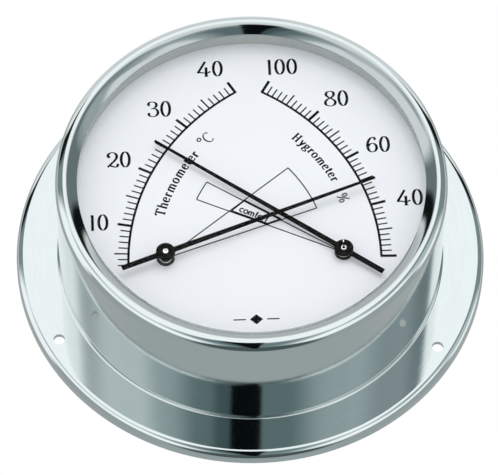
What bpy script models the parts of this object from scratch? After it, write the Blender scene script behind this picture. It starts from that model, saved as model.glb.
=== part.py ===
"""Ship's comfort meter: a thermometer and a hygrometer in one flanged bulkhead case.

Run with: blender --background --python part.py

The dial faces -Y with twelve o'clock at +Z. The origin is the centre of the flange's back plane,
which lies against the bulkhead. Sizes are in millimetres and are turned to metres by MM. A depth is
the distance in front of the bulkhead, so a point at depth d has y = -d.
"""

from math import asin, cos, degrees, pi, radians, sin, tan

import bmesh
import bpy
from mathutils import Vector

MM = 0.001

# Case
FLANGE_RADIUS = 55.0
FLANGE_DEPTH = 3.5
FLANGE_SHOULDER = 1.8
SHEET = 1.2
WALL_RADIUS = 45.0
WALL_FOOT_FILLET = 0.8
FACE_DEPTH = 36.0
BEAD_RADIUS = 2.2
LIP_SLOPE = radians(28)
OPENING_RADIUS = 40.0
LIP_SEAT_DEPTH = 34.5
CASE_STEPS = 64
BEAD_STEPS = 5
SHOULDER_STEPS = 4
SMALL_ARC_STEPS = 2

# Wall screw holes in the flange, a few degrees clockwise of twelve, eight and four o'clock
HOLE_CIRCLE = 50.75
HOLE_RADIUS = 1.35
HOLE_ANGLES = (86.45, 206.45, 326.45)
OVERCUT = 1.0

# Stack behind the lip, each piece from its rear depth to its front depth
STACK_RADIUS = 43.4
STACK_STEPS = 48
LENS_DEPTHS = (33.35, 34.35)
GASKET_DEPTHS = (32.95, 33.25)
GASKET_INNER_RADIUS = 41.6
SPACER_DEPTHS = (29.8, 32.85)
SPACER_INNER_RADIUS = 40.6
DIAL_DEPTHS = (28.8, 29.6)
PLATE_DEPTHS = (27.1, 28.6)
DIAL_HOLE_RADIUS = 2.1
COLLAR_RADIUS = 1.95
COLLAR_DEPTHS = (28.7, 29.8)
BUSHING_RADIUS = 1.45
BUSHING_DEPTHS = (26.4, 29.95)
BUSHING_FLANGE_RADIUS = 2.4
BUSHING_FLANGE = 0.6

# Pivots, seen from the front: the hygrometer turns on the left one and the thermometer on the right
PIVOT_X = 20.3
PIVOT_Z = -17.16
HYGROMETER_POINTER_DEPTH = 32.1
THERMOMETER_POINTER_DEPTH = 31.05
POINTER_LENGTH = 52.1
TAIL_LENGTH = 10.7
HYGROMETER_REST_ANGLE = 20.45
THERMOMETER_REST_ANGLE = 143.94
POINTER_BOSS_RADIUS = 1.5
POINTER_THICKNESS = 0.2
HUB_RADIUS = 2.2
HUB_THICKNESS = 0.45
ARBOR_RADIUS = 0.75
RUNNING_CLEARANCE = 0.05
STUD_RADIUS = 0.5
ADJUSTER_SHANK = 1.7
ADJUSTER_HEAD = 2.6
ADJUSTER_FLANGE = 3.2
ARM_THICKNESS = 0.8
ARM_EYE = 1.5

# Back
COVER_DEPTHS = (2.9, 4.3)
POST_CIRCLE = 36.0
POST_ANGLES = (45, 135, 270)
POST_RADIUS = 2.5
POST_HOLE_DEPTH = 6.0
LUG_ANGLES = (90, 210, 330)
LUG_MID_RADIUS = 42.1
LUG_SIZE = (7.0, 4.4, 2.6)
SCREW_SHANK_RADIUS = 0.7
SCREW_HOLE_RADIUS = 0.9
FIT_GAP = 0.1
PILLAR_RADIUS = 1.5
PILLAR_HOLE_DEPTH = 4.0
PILLAR_FRONT = PLATE_DEPTHS[0] - FIT_GAP

materials = {}


def clear_scene():
    for obj in list(bpy.data.objects):
        bpy.data.objects.remove(obj)


def finish(name, colour, roughness, metallic):
    """A Principled material, kept under its name."""
    material = bpy.data.materials.new(name)
    material.use_nodes = True
    shader = material.node_tree.nodes["Principled BSDF"]
    shader.inputs["Base Color"].default_value = (*colour, 1.0)
    shader.inputs["Roughness"].default_value = roughness
    shader.inputs["Metallic"].default_value = metallic
    materials[name] = material


def make_finishes():
    finish("polished_steel", (0.62, 0.65, 0.65), 0.1, 1.0)
    finish("clear_glass", (0.9, 0.95, 0.95), 0.02, 0.0)
    finish("black_rubber", (0.02, 0.02, 0.02), 0.7, 0.0)
    finish("white_plastic", (0.8, 0.8, 0.8), 0.4, 0.0)
    finish("white_lacquer", (0.87, 0.88, 0.9), 0.35, 0.0)
    finish("black_lacquer", (0.015, 0.015, 0.015), 0.4, 0.0)
    finish("black_plastic", (0.03, 0.03, 0.03), 0.5, 0.0)
    finish("turned_brass", (0.72, 0.55, 0.25), 0.3, 1.0)
    finish("turned_steel", (0.6, 0.6, 0.6), 0.25, 1.0)
    finish("bimetal", (0.6, 0.5, 0.42), 0.35, 1.0)
    finish("humidity_strip", (0.75, 0.72, 0.6), 0.6, 0.0)
    finish("zinc_plate", (0.55, 0.56, 0.58), 0.4, 1.0)


def arc(centre, radius, start, end, steps=SMALL_ARC_STEPS):
    """Points (radius, depth) of an arc between two angles in degrees, ends included."""
    angles = [radians(start + (end - start) * i / steps) for i in range(steps + 1)]
    return [(centre[0] + radius * cos(a), centre[1] + radius * sin(a)) for a in angles]


def add_object(name, mesh, material, place=(0.0, 0.0), parent=None):
    """Links a mesh as an object whose axis stands at (x, z) = place."""
    obj = bpy.data.objects.new(name, mesh)
    bpy.context.scene.collection.objects.link(obj)
    mesh.materials.append(materials[material])
    obj.location = (place[0] * MM, 0.0, place[1] * MM)
    if parent:
        obj.parent = parent
        obj.location = (0.0, 0.0, 0.0)
    return obj


def mesh_from(name, shape, smooth=True):
    """Closes a bmesh into a mesh with outward faces and sharp edges past 35 degrees."""
    bmesh.ops.remove_doubles(shape, verts=shape.verts, dist=1e-7)
    bmesh.ops.recalc_face_normals(shape, faces=shape.faces)
    mesh = bpy.data.meshes.new(name)
    shape.to_mesh(mesh)
    shape.free()
    if smooth:
        mesh.shade_smooth()
        mesh.set_sharp_from_angle(angle=radians(35))
    return mesh


def turned_mesh(name, profile, steps):
    """Spins a closed profile of (radius, depth) points round the Y axis."""
    shape = bmesh.new()
    ring = [shape.verts.new((r * MM, -d * MM, 0.0)) for r, d in profile]
    pairs = list(zip(ring, ring[1:] + ring[:1]))
    on_axis = 1e-9
    edges = [shape.edges.new(pair) for pair in pairs if max(abs(v.co.x) for v in pair) > on_axis]
    bmesh.ops.spin(
        shape,
        geom=ring + edges,
        cent=(0, 0, 0),
        axis=(0, 1, 0),
        angle=2 * pi,
        steps=steps,
        use_merge=True,
    )
    return mesh_from(name, shape)


def turned(name, profile, material, steps=24, place=(0.0, 0.0), parent=None):
    return add_object(name, turned_mesh(name, profile, steps), material, place, parent)


def tube_profile(inner, outer, rear, front):
    return [(inner, rear), (outer, rear), (outer, front), (inner, front)]


def rod_profile(radius, rear, front):
    return tube_profile(0.0, radius, rear, front)


def chamfered_profile(inner, outer, rear, front, chamfer=0.15):
    """A disc or washer whose front outer corner is chamfered."""
    edge = [(outer, front - chamfer), (outer - chamfer, front)]
    return [(inner, rear), (outer, rear), *edge, (inner, front)]


def plate_mesh(name, outline, rear, front):
    """A flat plate: a closed outline of (x, z) points, from one depth to another."""
    shape = bmesh.new()
    face = shape.faces.new([shape.verts.new((x * MM, -rear * MM, z * MM)) for x, z in outline])
    grown = bmesh.ops.extrude_face_region(shape, geom=[face])
    moved = [v for v in grown["geom"] if isinstance(v, bmesh.types.BMVert)]
    bmesh.ops.translate(shape, verts=moved, vec=Vector((0, (rear - front) * MM, 0)))
    return mesh_from(name, shape, smooth=False)


def plate(name, outline, rear, front, material, place=(0.0, 0.0), parent=None):
    return add_object(name, plate_mesh(name, outline, rear, front), material, place, parent)


def cut(obj, name, mesh, place=(0.0, 0.0)):
    """Cuts a mesh out of an object with a hidden cutter."""
    cutter = bpy.data.objects.new(f"cutter_{name}", mesh)
    bpy.context.scene.collection.objects.link(cutter)
    cutter.location = (place[0] * MM, 0.0, place[1] * MM)
    cutter.hide_render = True
    cutter.display_type = "WIRE"
    boolean = obj.modifiers.new(f"cut_{name}", "BOOLEAN")
    boolean.operation = "DIFFERENCE"
    boolean.solver = "EXACT"
    boolean.object = cutter


def drill(obj, name, radius, rear, front, place=(0.0, 0.0), steps=20):
    """Cuts a round hole along Y."""
    cut(obj, name, turned_mesh(name, rod_profile(radius, rear, front), steps), place)


def on_circle(radius, clock_angle):
    """(x, z) at an angle in degrees, counter-clockwise from three o'clock as seen from the front."""
    return radius * cos(radians(clock_angle)), radius * sin(radians(clock_angle))


def case_profile():
    """The pressed case: flange, wall, rounded bead and the lip that holds the lens."""
    bead_centre = (WALL_RADIUS - BEAD_RADIUS, FACE_DEPTH - BEAD_RADIUS)
    crest_angle = 90
    bead = arc(bead_centre, BEAD_RADIUS, 0, crest_angle, BEAD_STEPS)
    bead += arc(bead_centre, BEAD_RADIUS, crest_angle, crest_angle + degrees(LIP_SLOPE))[1:]
    lip_fall = (bead[-1][0] - OPENING_RADIUS) * tan(LIP_SLOPE)
    lip_edge = (OPENING_RADIUS, bead[-1][1] - lip_fall)
    shoulder_centre = (FLANGE_RADIUS - FLANGE_SHOULDER, FLANGE_DEPTH - FLANGE_SHOULDER)
    foot_centre = (WALL_RADIUS + WALL_FOOT_FILLET, FLANGE_DEPTH + WALL_FOOT_FILLET)
    inner_wall = WALL_RADIUS - SHEET
    seat_corner = [(inner_wall - 0.4, LIP_SEAT_DEPTH), (inner_wall, LIP_SEAT_DEPTH - 0.4)]
    return (
        [(FLANGE_RADIUS, 0.0)]
        + arc(shoulder_centre, FLANGE_SHOULDER, 0, 90, SHOULDER_STEPS)
        + arc(foot_centre, WALL_FOOT_FILLET, 270, 180)
        + bead
        + [lip_edge, (OPENING_RADIUS, LIP_SEAT_DEPTH)]
        + seat_corner
        + arc(foot_centre, WALL_FOOT_FILLET + SHEET, 180, 270)
        + arc(shoulder_centre, FLANGE_SHOULDER - SHEET, 90, 0)
        + [(FLANGE_RADIUS - SHEET, 0.0)]
    )


def make_case():
    case = turned("case_shell", case_profile(), "polished_steel", CASE_STEPS)
    rear, front = FLANGE_DEPTH - SHEET - OVERCUT, FLANGE_DEPTH + OVERCUT
    for number, angle in enumerate(HOLE_ANGLES, 1):
        drill(case, f"wall_hole_{number}", HOLE_RADIUS, rear, front, on_circle(HOLE_CIRCLE, angle))


def make_front_stack():
    """Lens, gasket, spacer, dial and movement plate, held against the lip from behind."""
    turned("lens", rod_profile(STACK_RADIUS, *LENS_DEPTHS), "clear_glass", STACK_STEPS)
    gasket = tube_profile(GASKET_INNER_RADIUS, STACK_RADIUS, *GASKET_DEPTHS)
    turned("lens_gasket", gasket, "black_rubber", STACK_STEPS)
    spacer = tube_profile(SPACER_INNER_RADIUS, STACK_RADIUS, *SPACER_DEPTHS)
    turned("dial_spacer_ring", spacer, "white_plastic", STACK_STEPS)
    dial = turned("dial_plate", rod_profile(STACK_RADIUS, *DIAL_DEPTHS), "white_lacquer", STACK_STEPS)
    plate_disc = rod_profile(STACK_RADIUS, *PLATE_DEPTHS)
    movement_plate = turned("movement_plate", plate_disc, "black_plastic", STACK_STEPS)
    bush_hole = BUSHING_RADIUS + FIT_GAP
    dial_cut = DIAL_DEPTHS[0] - OVERCUT / 2, DIAL_DEPTHS[1] + OVERCUT
    plate_cut = PLATE_DEPTHS[0] - OVERCUT, PLATE_DEPTHS[1] + OVERCUT
    for side, x in (("hygrometer", -PIVOT_X), ("thermometer", PIVOT_X)):
        drill(dial, f"{side}_dial_hole", DIAL_HOLE_RADIUS, *dial_cut, (x, PIVOT_Z))
        drill(movement_plate, f"{side}_bush_hole", bush_hole, *plate_cut, (x, PIVOT_Z))


def pointer_outline():
    """A bar that narrows to its tip, with a square tail and a round boss on the pivot."""
    hub_half, tip_half, tail_half = 0.56, 0.3, 0.62
    boss_angle = degrees(asin(hub_half / POINTER_BOSS_RADIUS))
    upper = arc((0, 0), POINTER_BOSS_RADIUS, boss_angle, 180 - boss_angle, steps=6)
    lower = arc((0, 0), POINTER_BOSS_RADIUS, 180 + boss_angle, 360 - boss_angle, steps=6)
    return (
        [(POINTER_LENGTH, -tip_half), (POINTER_LENGTH, tip_half)]
        + upper
        + [(-TAIL_LENGTH, tail_half), (-TAIL_LENGTH, -tail_half)]
        + lower
    )


def spiral_mesh(name, inner, outer, turns, strip, rear, front, steps_per_turn=18):
    """A flat strip wound into a spiral, its width along the arbor."""
    count = int(turns * steps_per_turn)
    shape = bmesh.new()
    rows = []
    for i in range(count + 1):
        angle = 2 * pi * turns * i / count
        middle = inner + (outer - inner) * i / count
        corners = []
        for radius, depth in (
            (middle - strip / 2, rear),
            (middle + strip / 2, rear),
            (middle + strip / 2, front),
            (middle - strip / 2, front),
        ):
            place = (radius * cos(angle) * MM, -depth * MM, radius * sin(angle) * MM)
            corners.append(shape.verts.new(place))
        rows.append(corners)
    for near, far in zip(rows, rows[1:]):
        for side in range(4):
            following = (side + 1) % 4
            shape.faces.new((near[side], near[following], far[following], far[side]))
    shape.faces.new(rows[0])
    shape.faces.new(rows[-1])
    return mesh_from(name, shape)


def capsule(half_length, radius):
    """An upright bar with round ends, as (x, z) points."""
    upper = arc((0, half_length), radius, 0, 180, steps=8)
    lower = arc((0, -half_length), radius, 180, 360, steps=8)
    return upper + lower


def screw_profile(head_radius, head_rear, head_front, shank_front):
    """A pan-head screw whose head is at the rear and whose shank points to the front."""
    return [
        (0.0, head_rear),
        (head_radius - 0.35, head_rear),
        (head_radius, head_rear + 0.35),
        (head_radius, head_front),
        (SCREW_SHANK_RADIUS, head_front),
        (SCREW_SHANK_RADIUS, shank_front),
        (0.0, shank_front),
    ]


def slot_mesh(name, length, width, rear, front):
    half, side = length / 2, width / 2
    return plate_mesh(name, [(-half, -side), (half, -side), (half, side), (-half, side)], rear, front)


def slotted_screw(name, place, head_radius, head_rear, head_front, shank_front):
    profile = screw_profile(head_radius, head_rear, head_front, shank_front)
    screw = turned(name, profile, "turned_steel", 14, place)
    slot = slot_mesh(f"{name}_slot", 2 * head_radius + 1, 0.5, head_rear - 1, head_rear + 0.5)
    cut(screw, f"{name}_slot", slot, place)


def drilled_post(radius, rear, front, hole_depth):
    """A round post with a blind screw hole in its rear end."""
    hole_radius = SCREW_HOLE_RADIUS
    return [
        (hole_radius, rear),
        (radius, rear),
        (radius, front),
        (0.0, front),
        (0.0, rear + hole_depth),
        (hole_radius, rear + hole_depth),
    ]


def make_movement(kind, x, rest_angle, pointer_depth, coil_rear, coil_outer, turns, strip, coil_finish):
    """One coil movement: bushing, arbor, collet, coil, pointer, hub, bridge and rear adjuster."""
    place = (x, PIVOT_Z)
    axis = bpy.data.objects.new(f"{kind}_axis", None)
    bpy.context.scene.collection.objects.link(axis)
    axis.location = (x * MM, 0.0, PIVOT_Z * MM)
    coil_front = BUSHING_DEPTHS[0] - 0.2
    arm_rear = coil_rear - 2.3
    bridge_rear = arm_rear - 3.1
    bridge_front = bridge_rear + 1.5
    bore = ARBOR_RADIUS + RUNNING_CLEARANCE

    bushing_rear, bushing_front = BUSHING_DEPTHS
    bushing = [
        (bore, bushing_rear),
        (BUSHING_FLANGE_RADIUS, bushing_rear),
        (BUSHING_FLANGE_RADIUS, bushing_rear + BUSHING_FLANGE),
        (BUSHING_RADIUS, bushing_rear + BUSHING_FLANGE),
        (BUSHING_RADIUS, bushing_front),
        (bore, bushing_front),
    ]
    turned(f"{kind}_bushing", bushing, "turned_steel", 20, place)
    collar = tube_profile(BUSHING_RADIUS + FIT_GAP, COLLAR_RADIUS, *COLLAR_DEPTHS)
    turned(f"{kind}_dial_collar", collar, "black_plastic", 20, place)

    hub_rear = pointer_depth + POINTER_THICKNESS + FIT_GAP
    hub_front = hub_rear + HUB_THICKNESS
    pivot_radius = 0.4
    arbor = [
        (0.0, bridge_front - 0.2),
        (pivot_radius, bridge_front - 0.2),
        (pivot_radius, arm_rear + 1.2),
        (ARBOR_RADIUS, arm_rear + 1.2),
        (ARBOR_RADIUS, hub_front + 0.1),
        (0.0, hub_front + 0.1),
    ]
    turned(f"{kind}_arbor", arbor, "turned_steel", 20, parent=axis)
    hub = chamfered_profile(bore, HUB_RADIUS, hub_rear, hub_front)
    turned(f"{kind}_hub", hub, "black_lacquer", 28, parent=axis)

    pointer = plate(
        f"{kind}_pointer",
        pointer_outline(),
        pointer_depth,
        pointer_depth + POINTER_THICKNESS,
        "black_lacquer",
        parent=axis,
    )
    pointer.rotation_euler.y = -radians(rest_angle)
    drill(pointer, f"{kind}_pointer_hole", bore, 29.0, 35.0, place)

    collet_radius = 1.9
    collet = tube_profile(bore, collet_radius, coil_rear, coil_front)
    turned(f"{kind}_collet", collet, "turned_brass", 20, parent=axis)
    coil_inner = collet_radius + FIT_GAP + strip / 2
    coil = spiral_mesh(f"{kind}_coil", coil_inner, coil_outer, turns, strip, coil_rear, coil_front)
    add_object(f"{kind}_coil", coil, coil_finish, place)

    arm_length = coil_outer + strip / 2 + FIT_GAP + STUD_RADIUS
    stud = rod_profile(STUD_RADIUS, arm_rear + 0.9, coil_front)
    turned(f"{kind}_coil_stud", stud, "turned_brass", 12, (x + arm_length, PIVOT_Z))
    make_adjuster(kind, place, arm_length, arm_rear, bridge_rear, bridge_front)
    make_bridge(kind, place, coil_outer + 4.0, bridge_rear, bridge_front)


def make_adjuster(kind, place, arm_length, arm_rear, bridge_rear, bridge_front):
    """The slotted adjuster turns in the bridge and swings the arm that holds the coil's outer end."""
    pivot_bore = 0.45
    shank = ADJUSTER_SHANK
    head_rear = bridge_rear - 2.1
    body = [
        (0.0, head_rear),
        (ADJUSTER_HEAD, head_rear),
        (ADJUSTER_HEAD, bridge_rear - FIT_GAP),
        (shank, bridge_rear - FIT_GAP),
        (shank, bridge_front + FIT_GAP),
        (ADJUSTER_FLANGE, bridge_front + FIT_GAP),
        (ADJUSTER_FLANGE, arm_rear - FIT_GAP),
        (ARM_EYE, arm_rear - FIT_GAP),
        (ARM_EYE, arm_rear + ARM_THICKNESS),
        (pivot_bore, arm_rear + ARM_THICKNESS),
        (pivot_bore, bridge_front - 0.3),
        (0.0, bridge_front - 0.3),
    ]
    adjuster = turned(f"{kind}_adjuster", body, "turned_brass", 20, place)
    slot = slot_mesh(f"{kind}_adjuster_slot", 7.0, 0.8, head_rear - 1, head_rear + 1.0)
    cut(adjuster, f"{kind}_adjuster_slot", slot, place)
    half_width = 1.0
    eye = 2.8
    eye_angle = degrees(asin(half_width / eye))
    outline = arc((0, 0), eye, eye_angle, 360 - eye_angle, steps=16) + arc(
        (arm_length, 0), half_width, -90, 90, steps=6
    )
    arm_front = arm_rear + ARM_THICKNESS
    arm = plate(f"{kind}_anchor_arm", outline, arm_rear, arm_front, "zinc_plate", place)
    drill(arm, f"{kind}_arm_eye", ARM_EYE + FIT_GAP, arm_rear - 1, arm_front + 1, place)


def make_bridge(kind, place, reach, bridge_rear, bridge_front):
    """The rear bridge on its two pillars, with the bore that carries the adjuster."""
    bridge = plate(f"{kind}_bridge", capsule(reach, 3.4), bridge_rear, bridge_front, "zinc_plate", place)
    bore = ADJUSTER_SHANK + RUNNING_CLEARANCE
    drill(bridge, f"{kind}_bridge_bore", bore, bridge_rear - 1, bridge_front + 1, place)
    for end, z in (("upper", PIVOT_Z + reach), ("lower", PIVOT_Z - reach)):
        spot = (place[0], z)
        hole = f"{kind}_{end}_screw_hole"
        drill(bridge, hole, SCREW_HOLE_RADIUS, bridge_rear - 1, bridge_front + 1, spot, 12)
        post = drilled_post(PILLAR_RADIUS, bridge_front + FIT_GAP, PILLAR_FRONT, PILLAR_HOLE_DEPTH)
        turned(f"{kind}_{end}_pillar", post, "turned_brass", 16, spot)
        slotted_screw(
            f"{kind}_{end}_bridge_screw",
            spot,
            1.6,
            bridge_rear - 1.1,
            bridge_rear - FIT_GAP,
            bridge_front + 3.5,
        )


def lug_mesh(name, angle):
    """A block on the inside of the wall, drilled from behind for a cover screw."""
    wide, deep, thick = LUG_SIZE
    x, z = on_circle(LUG_MID_RADIUS, angle)
    outward, along = on_circle(1.0, angle), on_circle(1.0, angle + 90)
    corners = ((-wide, -thick), (wide, -thick), (wide, thick), (-wide, thick))
    outline = [
        (x + (a * along[0] + b * outward[0]) / 2, z + (a * along[1] + b * outward[1]) / 2)
        for a, b in corners
    ]
    rear = COVER_DEPTHS[1] + FIT_GAP
    return plate_mesh(name, outline, rear, rear + deep)


def make_back():
    """Rear cover with its vent slots and access holes, its screws, the posts and the case lugs."""
    rear, front = COVER_DEPTHS
    cover = turned("back_cover", rod_profile(STACK_RADIUS, rear, front), "black_plastic", STACK_STEPS)
    for side, x in (("hygrometer", -PIVOT_X), ("thermometer", PIVOT_X)):
        drill(cover, f"{side}_access_hole", 3.4, rear - 1, front + 1, (x, PIVOT_Z))
    slot_pitch, slot_width = 4.5, 2.0
    for row in range(5):
        slot = slot_mesh(f"vent_{row}", 26.0, slot_width, rear - 1, front + 1)
        cut(cover, f"vent_{row}", slot, (0.0, 3.0 + slot_pitch * row))
    for number, angle in enumerate(POST_ANGLES, 1):
        spot = on_circle(POST_CIRCLE, angle)
        drill(cover, f"post_hole_{number}", SCREW_HOLE_RADIUS, rear - 1, front + 1, spot, 12)
        post = drilled_post(POST_RADIUS, front + FIT_GAP, PILLAR_FRONT, POST_HOLE_DEPTH)
        turned(f"spacer_post_{number}", post, "zinc_plate", 16, spot)
        slotted_screw(f"post_screw_{number}", spot, 1.9, rear - 1.3, rear - FIT_GAP, front + 4.5)
    for number, angle in enumerate(LUG_ANGLES, 1):
        screw_spot = on_circle(LUG_MID_RADIUS - 0.6, angle)
        drill(cover, f"lug_hole_{number}", SCREW_HOLE_RADIUS, rear - 1, front + 1, screw_spot, 12)
        lug = add_object(f"case_lug_{number}", lug_mesh(f"case_lug_{number}", angle), "zinc_plate")
        hole_front = front + FIT_GAP + LUG_SIZE[1] + 1
        drill(lug, f"lug_bore_{number}", SCREW_HOLE_RADIUS, front - 1, hole_front, screw_spot, 12)
        slotted_screw(f"cover_screw_{number}", screw_spot, 1.5, rear - 1.2, rear - FIT_GAP, front + 3.5)


def main():
    clear_scene()
    make_finishes()
    make_case()
    make_front_stack()
    make_movement(
        "hygrometer",
        -PIVOT_X,
        HYGROMETER_REST_ANGLE,
        HYGROMETER_POINTER_DEPTH,
        coil_rear=20.6,
        coil_outer=10.4,
        turns=4,
        strip=0.35,
        coil_finish="humidity_strip",
    )
    make_movement(
        "thermometer",
        PIVOT_X,
        THERMOMETER_REST_ANGLE,
        THERMOMETER_POINTER_DEPTH,
        coil_rear=23.0,
        coil_outer=8.4,
        turns=5,
        strip=0.3,
        coil_finish="bimetal",
    )
    make_back()


main()
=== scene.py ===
"""Looks of a ship's comfort meter: a thermometer and a hygrometer behind one glass.

The dial faces -Y with twelve o'clock at +Z. Lengths are in millimetres until a piece is put into its
mesh, and a depth is the distance in front of the bulkhead, so a point at depth d has y = -d.
"""

import math

import bmesh
import bpy
import numpy as np
from mathutils import Matrix, Vector


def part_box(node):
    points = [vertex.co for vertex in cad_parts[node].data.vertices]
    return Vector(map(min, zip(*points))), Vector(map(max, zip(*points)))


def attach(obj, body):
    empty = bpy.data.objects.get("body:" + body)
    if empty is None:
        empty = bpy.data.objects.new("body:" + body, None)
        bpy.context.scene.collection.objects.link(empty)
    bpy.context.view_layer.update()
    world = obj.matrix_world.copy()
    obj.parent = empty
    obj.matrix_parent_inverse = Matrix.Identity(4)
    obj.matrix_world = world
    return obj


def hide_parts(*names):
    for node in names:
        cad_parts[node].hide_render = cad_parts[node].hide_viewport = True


bl_info = {
    "name": "Comfort meter",
    "version": (1, 0, 0),
    "blender": (4, 5, 0),
    "location": "3D View > Sidebar > Comfort meter",
    "description": "Builds the looks of a ship's thermometer and hygrometer round its packed frame",
    "category": "Object",
}

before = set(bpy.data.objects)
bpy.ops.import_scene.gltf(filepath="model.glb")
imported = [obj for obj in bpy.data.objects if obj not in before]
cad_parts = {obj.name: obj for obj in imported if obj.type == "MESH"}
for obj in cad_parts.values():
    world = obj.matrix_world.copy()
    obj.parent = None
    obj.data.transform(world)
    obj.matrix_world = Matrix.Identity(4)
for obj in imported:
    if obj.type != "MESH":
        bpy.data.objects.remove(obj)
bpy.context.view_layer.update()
MM = 0.001
CASE_LOW, CASE_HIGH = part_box("case_shell")
DIAL_FACE = -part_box("dial_plate")[0].y / MM

# Screw holes in the flange
HOLE_CIRCLE = 50.75
HOLE_RADIUS = 1.35
HOLE_ANGLES = (86.45, 206.45, 326.45)

# Pivots, and each pointer's angle at rest and the depth of its back
THERMOMETER_PIVOT = (20.3, -17.16)
HYGROMETER_PIVOT = (-20.3, -17.16)
THERMOMETER_REST, THERMOMETER_REAR = 143.94, 31.05
HYGROMETER_REST, HYGROMETER_REAR = 20.45, 32.1

# Depths of a pointer's parts in front of its back, of a bushing's ends, and of the arbor's shoulder in
# front of its setting disc
POINTER_FRONT, HUB_REAR, HUB_FRONT, ARBOR_FRONT = 0.2, 0.3, 0.75, 0.85
BUSHING_REAR, BUSHING_FRONT = 26.4, 29.95
ARBOR_SHOULDER_GAP = 0.4

# Scales: each arc's centre and radius, the angle of its last reading, the turn for one unit, and how
# far a tick starts inside its arc
THERMOMETER_SCALE = ((24.58, -18.92), 53.4)
FORTY_DEGREES_AT = 120.55
TURN_PER_DEGREE = -1.6
HYGROMETER_SCALE = ((-22.77, -17.46), 51.63)
HUNDRED_PERCENT_AT = 59.2
TURN_PER_PERCENT = 0.73375
CLOSING_PER_PERCENT = 0.00025
TICK_INSIDE = 0.2

# Print: the heights of its face and its back over the dial, those of lines that cross others, and widths
PRINT_RISE, PRINT_GAP = 0.02, 0.004
ARC_RISE, FIELD_RISE = 0.024, 0.023
BOLD, MIDDLE, FINE, ARC_LINE = 0.66, 0.38, 0.33, 0.54
FIELD_FINE, FIELD_BOLD, RULE_LINE = 0.28, 0.44, 0.3

# Studio camera, as its place and its three axes
CAMERA_PLACE = (-0.03033, -0.86129, -0.50721)
CAMERA_RIGHT = (0.99898, -0.00873, -0.04436)
CAMERA_UP = (0.03364, -0.51193, 0.85837)
CAMERA_BACK = (-0.0302, -0.85899, -0.51111)
CAMERA_LENS = 306.25


# ---------------- settings


LENGTH = {"subtype": "DISTANCE", "unit": "LENGTH"}
COLOUR = {"subtype": "COLOR", "min": 0.0, "max": 1.0}


class CaseSettings(bpy.types.PropertyGroup):
    """Sizes and colour of the case."""

    flange_radius: bpy.props.FloatProperty(
        name="Flange radius", description="Outer radius of the flange", default=CASE_HIGH.x, **LENGTH
    )
    depth: bpy.props.FloatProperty(
        name="Depth", description="Height of the bead above the bulkhead", default=-CASE_LOW.y, **LENGTH
    )
    wall_radius: bpy.props.FloatProperty(
        name="Wall radius", description="Outer radius of the cylindrical wall", default=0.045, **LENGTH
    )
    opening_radius: bpy.props.FloatProperty(
        name="Opening radius",
        description="Radius of the opening in front of the glass",
        default=0.040,
        **LENGTH,
    )
    steel: bpy.props.FloatVectorProperty(
        name="Steel", description="Colour of the polished steel", default=(0.66, 0.70, 0.70), **COLOUR
    )


class DialSettings(bpy.types.PropertyGroup):
    """Print and colours of the dial."""

    lacquer: bpy.props.FloatVectorProperty(
        name="Lacquer", description="Colour of the dial", default=(0.87, 0.89, 0.93), **COLOUR
    )
    ink: bpy.props.FloatVectorProperty(
        name="Ink", description="Colour of the printed marks", default=(0.006, 0.006, 0.007), **COLOUR
    )
    numeral_height: bpy.props.FloatProperty(
        name="Numeral height", description="Height of the numbers on the scales", default=0.0043, **LENGTH
    )
    word_height: bpy.props.FloatProperty(
        name="Word height",
        description="Height of the capitals in the two scale names",
        default=0.0024,
        **LENGTH,
    )
    pointer_length: bpy.props.FloatProperty(
        name="Pointer length",
        description="Length of a pointer from its pivot to its tip",
        default=0.05205,
        **LENGTH,
    )


# ---------------- mesh helpers


MERGE_WITHIN, COLLAPSE_UNDER = 1e-7, 1e-8
SHARP_OVER, SHARP_OVER_CUT = 35.0, 20.0


def grid_quads(rows, columns, wrap_rows=False, wrap_columns=False):
    """Corner numbers of the quads between neighbouring points of a rows x columns grid."""
    row = np.arange(rows if wrap_rows else rows - 1)[:, None]
    column = np.arange(columns if wrap_columns else columns - 1)[None, :]
    next_row = (row + 1) % rows
    next_column = (column + 1) % columns
    corners = [
        row * columns + column,
        row * columns + next_column,
        next_row * columns + next_column,
        next_row * columns + column,
    ]
    return np.stack(corners, axis=-1).reshape(-1, 4)


def mesh_of(name, points, quads):
    """A closed mesh from points in millimetres and quads, merged, faced outwards and smooth-shaded."""
    mesh = bpy.data.meshes.new(name)
    mesh.vertices.add(len(points))
    mesh.vertices.foreach_set("co", (np.asarray(points) * MM).astype(np.float32).ravel())
    mesh.loops.add(quads.size)
    mesh.loops.foreach_set("vertex_index", quads.astype(np.int32).ravel())
    mesh.polygons.add(len(quads))
    mesh.polygons.foreach_set("loop_start", np.arange(len(quads), dtype=np.int32) * 4)
    mesh.update(calc_edges=True)
    shape = bmesh.new()
    shape.from_mesh(mesh)
    bmesh.ops.remove_doubles(shape, verts=shape.verts, dist=MERGE_WITHIN)
    bmesh.ops.dissolve_degenerate(shape, edges=shape.edges, dist=COLLAPSE_UNDER)
    bmesh.ops.recalc_face_normals(shape, faces=shape.faces)
    shape.to_mesh(mesh)
    shape.free()
    mesh.shade_smooth()
    mesh.set_sharp_from_angle(angle=math.radians(SHARP_OVER))
    return mesh


def merged(parts):
    """One (points, quads) pair from several."""
    starts = np.cumsum([0] + [len(points) for points, _ in parts[:-1]])
    points = np.concatenate([points for points, _ in parts])
    quads = np.concatenate([quads + start for (_, quads), start in zip(parts, starts)])
    return points, quads


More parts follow.
